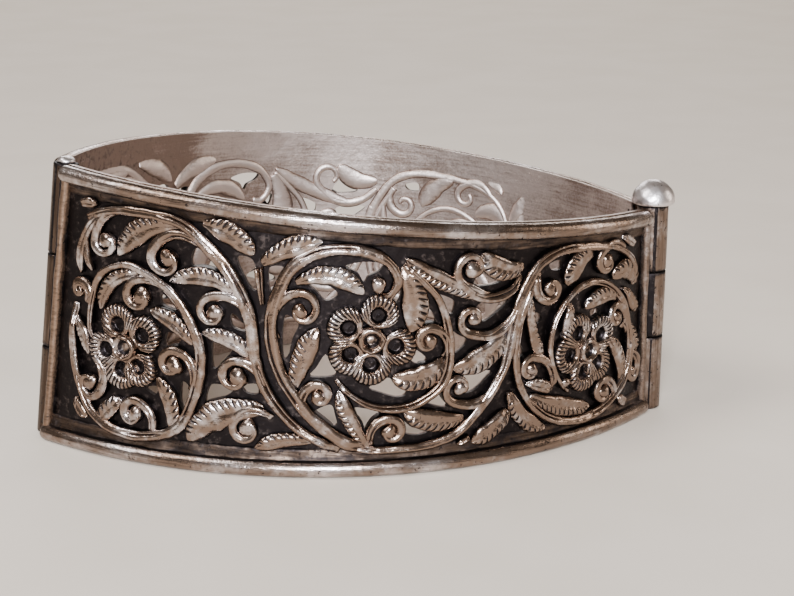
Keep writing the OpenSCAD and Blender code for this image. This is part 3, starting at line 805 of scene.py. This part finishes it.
# centre and radius of the knobs that stand without a curl of their own
KNOBS = [((36, 6.45), 0.82), ((57.3, -5), 0.5)]
CLOSING_CURLS = [
    ((71.3, 4.4), 1.6, (74.7, 1.2), 1, 0.75), ((77.7, -3.6), 1.5, (75, -1.2), -1, 0.7),
    ((83.2, 4), 1.1, (86.3, 3.2), 1, 0.5), ((84.2, -5), 1, (82.4, -7.4), 1, 0.5),
]
CLOSING_KNOBS = [((82.3, -0.1), 0.85)]
CURL_TURN = radians(405)
CURL_STEPS = 24
CURL_GROOVE = 0.24
CURL_BREADTHS = [(0, 0.8), (0.3, 1.18), (0.6, 1.02), (0.8, 0.85), (1, 0.6)]
BALL_TOP = 1.04
BALL_FLAT = 0.72


def curl_route(centre, radius, tail, sense):
    """From the tail on to a ring round the centre, and in towards the ball."""
    reach = hypot(tail[0] - centre[0], tail[1] - centre[1])
    start = atan2(tail[1] - centre[1], tail[0] - centre[0])
    points = []
    for i in range(CURL_STEPS + 1):
        t = i / CURL_STEPS
        r = reach + (radius - reach) * sin(min(t / 0.3, 1) * pi / 2)
        r *= 1 - 0.74 * ease(0.4, 1.0, t)
        a = start + sense * CURL_TURN * t
        points.append((centre[0] + r * cos(a), centre[1] + r * sin(a)))
    return points


def ball(bm, u, v, radius):
    """A flattened and slightly lopsided ball that stands on the sheet."""
    oxide_and_shade = bm.verts.layers.float["oxide_and_shade"]
    place = (Matrix.Translation((u, v, BALL_TOP - BALL_FLAT * radius))
             @ Matrix.Diagonal((1, 1, BALL_FLAT, 1)))
    made = bmesh.ops.create_uvsphere(bm, u_segments=20, v_segments=12, radius=radius, matrix=place)
    for corner in made["verts"]:
        corner[oxide_and_shade] = ease(0.5, 0.1, corner.co.z)
        x, y = corner.co.x - u, corner.co.y - v
        grow = 0.09 * sin(2 * atan2(y, x) + u) + 0.07 * sin(3 * atan2(y, x) + v)
        corner.co.x += x * grow
        corner.co.y += y * grow
        corner.co.z += uneven(corner.co.x, corner.co.y, 0.5, 0.09)


def curls(half):
    bm = new_piece()

    def chase(t, side, h, dark):
        """The groove runs out before the ball."""
        if h < 0 or abs(abs(side) - CURL_GROOVE) > 0.13:
            return h, dark
        share = ease(0.02, 0.1, t) * ease(0.42, 0.26, t)
        return 0.88 - (0.88 - h) * share, dark * share

    for centre, radius, tail, sense, knob in all_of(CURLS, CLOSING_CURLS, half):
        section = [(side * sense, h, dark) for side, h, dark in CURL_SECTION]
        strand(bm, Curve(curl_route(centre, radius, tail, sense)), lambda t: between(CURL_BREADTHS, t),
               section, 0.16, chase=chase, rise=lambda t: 0.4 + 0.6 * ease(0, 0.12, t))
        ball(bm, *centre, min(1.3 * knob, radius - 0.52))
    for centre, radius in all_of(KNOBS, CLOSING_KNOBS, half):
        ball(bm, *centre, radius)
    return fit(bm, half, "curls", CHASED)


# %% [markdown]
# ## Leaves
#
# A leaf is a bowed strand that swells and ends in a point, smooth and crowned on one side. On the
# other side a row of slanting cuts runs in from the edge. The cuts are real grooves, so they catch
# the light from any side.

# %% Leaves: root, tip, bow to the left, breadth, cut side (1 left, -1 right, 0 none)
LEAF_SECTION = [
    (-1, -0.1, 1), (-1, 0.36, 1), (-0.98, 0.54, 0.45), (-0.92, 0.66, 0), (-0.82, 0.75, 0),
    (-0.7, 0.82, 0), (-0.56, 0.86, 0), (-0.42, 0.87, 0), (-0.28, 0.85, 0), (-0.12, 0.8, 0.05),
    (0.02, 0.77, 0.15), (0.16, 0.79, 0.05), (0.4, 0.84, 0), (0.66, 0.82, 0), (0.86, 0.68, 0.15),
    (0.97, 0.46, 0.85), (1, -0.1, 1),
] + UNDERSIDE
LEAVES = [
    ((7, 10.6), (4.6, 4), -1, 0.9, 0), ((5.3, 9), (6.1, 4.5), -0.4, 0.6, 0),
    ((16, 10.6), (9.2, 6.7), -1.2, 1.9, -1), ((22.3, 4.6), (15.3, 4.9), -1.2, 1.4, -1),
    ((12, 5.2), (7.3, 0.8), -1.3, 1.2, -1), ((18, -1), (13.2, 1.8), -0.6, 1.2, -1),
    ((16.3, -10.3), (14.3, -5), -0.7, 1.3, -1), ((7.8, -11), (10.4, -8.1), 0.3, 1.3, 1),
    ((4.2, -0.5), (6, -4.2), 0.3, 1, -1), ((4.2, 11), (6.3, 11.3), 0.2, 0.9, 1),
    ((4.7, -9), (6.3, -10.8), -0.2, 0.9, -1), ((5.7, 2.8), (5.7, 1), 0.1, 0.6, 0),
    ((18.5, 11.2), (23.8, 8.7), 0.6, 1.7, 1), ((24.6, 7.9), (30.4, 10.5), 0.5, 1.6, 1),
    ((24.4, -1.7), (18.9, 0.3), -0.7, 1.3, -1), ((25.5, -6.8), (18, -10.9), -1.3, 2.2, -1),
    ((30.3, -9.6), (24.8, -10.8), -0.5, 1.3, -1), ((28, 6.3), (34.6, 5.5), 1.3, 1.5, 1),
    ((28.4, -4.2), (30.3, 1.9), 0.3, 1.7, 1), ((38.3, 8.2), (39.4, 1.7), 0.8, 2, 1),
    ((43, -1.2), (37.8, -2.9), 0.9, 1.9, 1), ((35.7, -10), (32.6, -4.3), 0.3, 1.3, 1),
    ((45.3, -7.3), (39.1, -6.5), 0.5, 1.7, 1), ((49.8, 1.3), (43.9, -2.2), 0.8, 1.9, 1),
    ((48, 4.9), (38.6, 9), 0.5, 1.4, 1), ((51.3, 7.8), (46.5, 9.4), 0.9, 1.8, 1),
    ((60.8, 8.8), (57, 5.2), -0.6, 1.9, -1), ((68.2, 3.8), (64, 5), -1.3, 1.7, -1),
    ((65.2, 2.6), (59.8, 2.4), -1, 1.3, -1), ((57.5, 3.3), (56.8, 0.2), 0.3, 1.1, 1),
    ((66.3, -6.8), (63.9, -1.5), -0.8, 1.3, -1), ((53, -6), (61.2, -8.2), -0.4, 1.6, -1),
    ((52.3, -4.5), (55.6, -5.6), 0.2, 1, 1), ((52.2, 4.8), (54.2, -2.3), -0.5, 1.1, 1),
    ((50.4, -5.2), (55, -9.5), -0.9, 1.4, -1), ((66.2, 3.6), (68.3, 0.7), 0.2, 1, 1),
    ((66.5, 0), (69, -3.8), 0.2, 1.4, 1), ((65.5, 9.2), (67.5, 8), 0.2, 0.9, 1),
    ((66, -8), (67.5, -9.2), -0.2, 0.9, -1), ((50.2, -7), (46.3, -10), 0.3, 1.6, 1),
    ((46, -9.2), (44.6, -10), 0.1, 0.5, 0),
]
CLOSING_LEAVES = [
    ((74.9, -3.6), (70.4, -4.8), 0.5, 1.4, 1), ((74.8, -0.8), (70.4, 0.2), -0.5, 1.4, -1),
    ((76.6, 5.2), (72.2, 8.1), 0.4, 1.4, 1), ((75.4, 2.6), (79.5, 4), 0.5, 1.3, 1),
    ((75.6, -7.4), (79.8, -5.7), 0.4, 1.2, -1), ((84.9, -2.1), (87.1, -4.9), 0.3, 1, -1),
    ((67.6, -9.2), (70.2, -6.6), -0.3, 1.1, -1), ((68.9, 4.4), (71.2, 8.4), 0.4, 1.3, 1),
    ((79.6, 7.2), (84.3, 8.3), 0.3, 0.9, 1), ((68.9, 1.6), (72.2, 2.4), 0.2, 0.9, 1),
    ((72.6, -7.4), (74.8, -9.1), 0.2, 0.8, 1),
]
CUT_PITCH = 0.62
CUT_DEPTH = 0.15
LEAF_WIDEN = 1.32


def leaf_route(root, tip, bow):
    root, tip = Vector(root), Vector(tip)
    left = Vector((root.y - tip.y, tip.x - root.x)).normalized()
    return [root + (tip - root) * t + left * bow * 4 * t * (1 - t) for t in (0, 0.2, 0.4, 0.6, 0.8, 1)]


def leaf(bm, root, tip, bow, breadth, cut_side):
    """One leaf with its row of cuts."""
    curve = Curve(leaf_route(root, tip, bow))
    count = max(3, round(curve.length / CUT_PITCH))

    def swell(t):
        return LEAF_WIDEN * breadth * (0.3 * (1 - t) ** 3 + max(0, sin(pi * t ** 1.35)) ** 0.5) + 0.05

    def cuts(t, side, h, dark):
        inward = 1 + side * flip
        if not cut_side or h < 0.4 or inward > 1.0:
            return h, dark
        phase = t * count + 0.85 * inward
        narrow = 0.05 * ease(0.45, 0.8, inward) + 0.05 * ease(0.3, 0.06, inward)
        groove = (ease(0.2 - narrow, 0.1 - narrow, abs(phase - round(phase))) * ease(0.06, 0.16, inward)
                  * ease(0.84, 0.64, inward) * ease(0.05, 0.1, t) * ease(0.97, 0.92, t))
        groove *= ease(0.5, 1.5, breadth)
        return h - CUT_DEPTH * groove, max(dark, 1.2 * groove)

    flip = 1 if cut_side < 0 else -1
    section = [(side * flip, h, dark) for side, h, dark in LEAF_SECTION]
    strand(bm, curve, swell, section, 0.075 if cut_side else 0.2, chase=cuts,
           rise=lambda t: 0.6 + 0.4 * min(ease(0, 0.2, t), ease(1.02, 0.8, t)))


def leaves(half):
    bm = new_piece()
    for row in all_of(LEAVES, CLOSING_LEAVES, half):
        leaf(bm, *row)
    return fit(bm, half, "leaves", CHASED)


# %% [markdown]
# ## Flowers
#
# Three flowers fill the scrolls. Each has five cupped petals with a dark hollow near the middle and
# fine flutes on the outer edge, round a button with a dished top. Petal and button are both grids in
# polar form: rows run out from the middle, and columns run round it.

# %% Flowers: centre, distance of the petals' hollows, their directions, button radius
HOLLOW_R = 0.6
HOLLOW_X = -0.45
PETAL_LONG = 1.8
PETAL_WIDE = 2.06
PETAL_GRID = (20, 120)
BUTTON_GRID = (22, 40)
FLUTES = 26
PETAL_CUP = [
    (0, 0.1), (0.1, 0.42), (0.22, 0.72), (0.34, 0.86), (0.5, 0.93), (0.68, 0.92), (0.84, 0.8),
    (0.94, 0.58), (0.98, 0.3), (1, -0.3),
]
PETAL_DARK = [(0, 1), (0.1, 0.85), (0.2, 0.3), (0.28, 0), (0.92, 0), (0.97, 0.9), (1, 1)]
BUTTON_FORM = [
    (0, 0.62), (0.3, 0.58), (0.45, 0.78), (0.6, 1.12), (0.72, 1.22), (0.84, 1.1), (0.94, 0.6),
    (1, -0.3),
]
BUTTON_DARK = [(0, 0.35), (0.3, 0.55), (0.42, 0.85), (0.55, 0.1), (0.85, 0), (0.95, 0.9), (1, 1)]
FLOWERS = [
    ((10.6, -2.5), 2.35, (115, 39, -48, -97, -164), 1.3),
    ((35.55, 0.95), 2.5, (154, 76, -15, -89, -142), 1.3),
    ((60.3, -2), 2.35, (127, 33, -45, -98, 185), 1.25),
]


def petal(bm, u, v, facing, across, twist):
    """One cupped petal; facing is the direction away from the middle of the flower."""
    def place(t, column):
        a = 2 * pi * column / PETAL_GRID[1]
        wide = across * (1 + 0.04 * sin(3 * a + twist))
        edge = Vector((PETAL_LONG * cos(a) - HOLLOW_X, wide * sin(a)))
        far = edge.length
        away = far * t ** 0.9
        share = (away - HOLLOW_R) / (far - HOLLOW_R)
        h, dark = 0.1 - 0.06 * share, 1
        if share > 0:
            h, dark = between(PETAL_CUP, share), between(PETAL_DARK, share)
        outward = abs(atan2(edge.y, edge.x))
        fan = atan2(edge.y * t ** 0.9, edge.x * t ** 0.9 + 2.0)
        flute = (ease(0.7, 0.94, abs(sin(FLUTES * fan + twist))) * ease(2.3, 1.9, outward)
                 * ease(0.2, 0.36, share) * ease(0.98, 0.9, share))
        h = h - 0.13 * flute - 0.15 * ease(1.7, 2.6, outward) * max(h, 0)
        x, y = edge.normalized() * away + Vector((HOLLOW_X, 0))
        h += uneven(u + x, v + y, 0.6, 0.06) * (h > 0)
        return (u + x * cos(facing) - y * sin(facing), v + x * sin(facing) + y * cos(facing), h,
                max(dark, 1.1 * flute))
    swept(bm, *PETAL_GRID, place)


def button(bm, u, v, radius):
    """The middle of a flower, a ring round a dished top."""
    def place(t, column):
        a = 2 * pi * column / BUTTON_GRID[1]
        r = radius * t * (1 + 0.03 * sin(3 * a + 1) + 0.02 * sin(7 * a))
        h = between(BUTTON_FORM, t) + uneven(r * cos(a), r * sin(a) + u, 0.4, 0.1) * ease(0, 0.2, 1 - t)
        return u + r * cos(a), v + r * sin(a), h, between(BUTTON_DARK, t)
    swept(bm, *BUTTON_GRID, place)


def flowers(half):
    bm = new_piece()
    for (u, v), reach, directions, radius in FLOWERS:
        for number, direction in enumerate(directions):
            facing = radians(direction)
            away = reach + 0.42
            petal(bm, u + away * cos(facing), v + away * sin(facing), facing,
                  PETAL_WIDE - 0.06 * (number % 3), number)
        button(bm, u, v, 1.16 * radius)
    return fit(bm, half, "flowers", CHASED)


# %% [markdown]
# ## Making both halves
#
# Each half is nine pieces, and the imported half is hidden.

# %% Make the bands
for half, node in ((FRONT, "front_half"), (BACK, "back_half")):
    pieces = [pierced_sheet(half), rim_wires(half), borders(half), end_strip(half, False),
              end_strip(half, True), stems(half), curls(half), leaves(half), flowers(half)]
    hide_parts(node)
print("halves made")

# %% [markdown]
# ## Hinge and clasp
#
# Both ends are rolled into tubes that interlock like the fingers of two hands, three knuckles at each
# end. A knuckle is a short tube, so its wall is drawn once and spun about the pin's axis.

# %% Axes and knuckles, in millimetres along each axis from its middle
HINGE = Matrix.Translation((-31.0, 0.8, 0)) @ Matrix.Rotation(LEAN, 4, "Y")
CLASP = Matrix.Translation((32.3, 1.2, 0)) @ Matrix.Rotation(-LEAN, 4, "Y")
# axis, radius, bore, metal, and the sign of x on the outer side, away from the pattern's join
HINGE_TUBE = (HINGE, 1.3, 0.65, HINGE_METAL, -1)
CLASP_TUBE = (CLASP, 1.7, 0.9, CLASP_METAL, 1)
KNUCKLE_EDGE = 0.12
KNUCKLE_SEGMENTS = 72
# name, body, tube, low, high, and the dark seams as (angle, half width) in degrees
KNUCKLES = [
    ("front_hinge_knuckle", "front", HINGE_TUBE, -4.875, 4.925, [(250, 12)]),
    ("back_hinge_knuckle_top", "back", HINGE_TUBE, 5.075, 14.43, [(221, 9), (254, 10)]),
    ("back_hinge_knuckle_low", "back", HINGE_TUBE, -14.43, -5.025, [(250, 12)]),
    ("front_clasp_knuckle_top", "front", CLASP_TUBE, 4.425, 11.54, [(267, 9)]),
    ("front_clasp_knuckle_low", "front", CLASP_TUBE, -11.19, -3.025, [(270, 6)]),
    ("back_clasp_knuckle", "back", CLASP_TUBE, -2.875, 4.275, [(261, 17)]),
]


def turned(bm, profile, segments):
    """Spins a profile of (radius, height) rows about the upright axis."""
    corners = [bm.verts.new((r, 0, z)) for r, z in profile]
    edges = [bm.edges.new(pair) for pair in zip(corners, corners[1:])]
    bmesh.ops.spin(bm, geom=corners + edges, cent=(0, 0, 0), axis=(0, 0, 1), angle=2 * pi,
                   steps=segments, use_merge=True, use_duplicate=False)
    bmesh.ops.remove_doubles(bm, verts=bm.verts, dist=1e-5)


def stand(bm, axis):
    """Turns the faces of a spun piece outwards and puts it on its axis."""
    bmesh.ops.recalc_face_normals(bm, faces=bm.faces)
    bmesh.ops.transform(bm, matrix=SEAT @ axis, verts=bm.verts)


def knuckle(name, body, tube, low, high, seams):
    """A worn tube whose ends are a little rounded, with the dirt that gathers along its seams."""
    axis, radius, bore, metal, outer = tube
    bm = new_piece()
    soft = KNUCKLE_EDGE
    steps = max(4, round((high - low) / 0.6))
    wall = [(radius, low + soft + (high - low - 2 * soft) * i / steps) for i in range(steps + 1)]
    foot = [(bore, low), (radius - soft, low), (radius - 0.3 * soft, low + 0.3 * soft)]
    top = [(radius - 0.3 * soft, high - 0.3 * soft), (radius - soft, high), (bore, high), (bore, low)]
    turned(bm, foot + wall + top, KNUCKLE_SEGMENTS)
    oxide_and_shade, flat = bm.verts.layers.float["oxide_and_shade"], bm.verts.layers.float_vector["flat"]
    for corner in bm.verts:
        x, y, z = corner.co
        r = hypot(x, y)
        angle = degrees(atan2(y, x)) % 360
        seam = max(ease(wide, 0.5 * wide, abs(angle - place)) for place, wide in seams)
        corner[flat] = Vector((z, radius * atan2(outer * y, outer * x), r)) * MM
        if r < bore + 0.05:
            corner[oxide_and_shade] = 1.0
        else:
            edge = min(z - low, high - z)
            corner[oxide_and_shade] = max(0.5 * ease(0.25, 0.05, edge) + 0.2, 1.1 * seam)
            push = 1 - 0.012 - uneven(x * 2, y * 2 + z * 0.3, 1.0, 0.015)
            corner.co.x *= push
            corner.co.y *= push
    stand(bm, axis)
    finish(bm, name, body, metal)


for row in KNUCKLES:
    knuckle(*row)

# %% [markdown]
# ## The pins
#
# The hinge pin is a plain wire whose upper end is spread. The clasp pin is thicker and has a head like
# a thimble, hammered from sheet and worn round, flat underneath, so that a fingernail can lift it.

# %% Pins
PIN_R = 0.845
HEAD_LOW = 11.68
HEAD_SIZE = 2.4
HEAD_FORM = [
    (0, 0), (1.7, 0), (2.15, 0.03), (2.3, 0.12), (2.33, 0.3), (2.31, 0.55), (2.24, 0.86), (2.1, 1.2),
    (1.88, 1.56), (1.58, 1.89), (1.23, 2.17), (0.84, 2.37), (0.42, 2.49), (0, 2.52),
]


def hinge_pin():
    """A wire whose upper end is spread over the top knuckle."""
    bm = new_piece()
    low, high = -14.3, 14.48
    spread = [(0.93, 0.03), (0.9, 0.28), (0.66, 0.5), (0.3, 0.58), (0, 0.6)]
    turned(bm, [(0, low), (0.5, low), (0.59, low + 0.12), (0.59, high)]
           + [(r, high + z) for r, z in spread], 28)
    for corner in bm.verts:
        if corner.co.z > high:
            corner.co.z += uneven(corner.co.x, corner.co.y, 0.5, 0.12)
    stand(bm, HINGE)
    made = finish(bm, "hinge_pin_wire", "back", PLAIN, "pin_silver")
    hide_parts("hinge_pin")


def clasp_pin():
    """The shank with its rounded tip, and the hammered head."""
    bm = new_piece()
    tip = -11.15
    rounded = [(0, tip), (0.4, tip + 0.08), (0.68, tip + 0.34), (0.83, tip + 0.8)]
    turned(bm, rounded + [(PIN_R, z) for z in (-8, -4, 0, 4, 8, HEAD_LOW + 0.3)], 36)
    head = bmesh.new()
    turned(head, HEAD_FORM, 96)
    bmesh.ops.subdivide_edges(head, edges=[e for e in head.edges if e.calc_length() > 0.28], cuts=1)
    for corner in head.verts:
        x, y, z = corner.co
        dents = uneven(x + z, y - z, 0.9, 0.06) + uneven(x - y, z + y, 0.4, 0.015)
        corner.co *= 1 + ease(0.15, 0.6, z) * dents / HEAD_SIZE
        corner.co.z += HEAD_LOW
    head_mesh = to_mesh(head, "head")
    bm.from_mesh(head_mesh)
    bpy.data.meshes.remove(head_mesh)
    stand(bm, CLASP)
    made = finish(bm, "clasp_pin_with_head", "pin", PLAIN, "pin_silver")
    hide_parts("clasp_pin")


hinge_pin()
clasp_pin()

# %% [markdown]
# ## Floor and light
#
# Silver shows what stands round it. A pale floor and a few soft lights leave dark room between them,
# so that the crowns catch bright edges and the rest stays warm, as in the photograph.

# %% Floor
FLOOR_REACH = 1.6
FLOOR_COLOURS = ((0.66, 0.585, 0.50, 1), (0.69, 0.615, 0.53, 1))


def pale_floor():
    bm = bmesh.new()
    bmesh.ops.create_grid(bm, x_segments=8, y_segments=8, size=FLOOR_REACH)
    mesh = to_mesh(bm, "floor")
    made = Finish("pale_floor")
    speckle = made.noise(made.place(), 60, 3, 0.5)
    made.into("Base Color", made.mix(made.step(speckle, 0.3, 0.7), *FLOOR_COLOURS))
    made.into("Roughness", 0.7)
    mesh.materials.append(made.material)
    floor = add_object("floor", mesh)


pale_floor()

# %% Lights: name, place, aim, size, power, colour
LIGHTS = [
    ("front_window", (-0.08, -0.50, 0.27), (0, 0, 0.01), (0.17, 0.09), 7.2, (0.92, 0.95, 1.0)),
    ("left_high", (-0.34, -0.10, 0.46), (0, 0, 0), (0.22, 0.22), 2.0, (1.0, 0.97, 0.95)),
    ("behind_low", (0.05, 0.55, 0.28), (0, 0, 0.02), (0.5, 0.14), 1.5, (1.0, 0.97, 0.95)),
    ("right_edge", (0.55, -0.05, 0.2), (0.02, 0, 0.01), (0.12, 0.3), 0.8, (1.0, 0.88, 0.76)),
]
ROOM_COLOUR = (0.80, 0.68, 0.56, 1)
ROOM_STRENGTH = 0.25


def soft_light(name, place, aim, size, power, colour):
    light = bpy.data.lights.new(name, "AREA")
    light.shape = "RECTANGLE"
    light.size, light.size_y = size
    light.energy, light.color = power, colour
    lamp = add_object(name, light)
    lamp.location = place
    lamp.rotation_euler = (Vector(place) - Vector(aim)).to_track_quat("Z", "Y").to_euler()


for row in LIGHTS:
    soft_light(*row)

world = bpy.data.worlds.new("room")
bpy.context.scene.world = world
world.use_nodes = True
background = world.node_tree.nodes["Background"]
background.inputs["Color"].default_value = ROOM_COLOUR
background.inputs["Strength"].default_value = ROOM_STRENGTH
print("lights", [row[0] for row in LIGHTS])
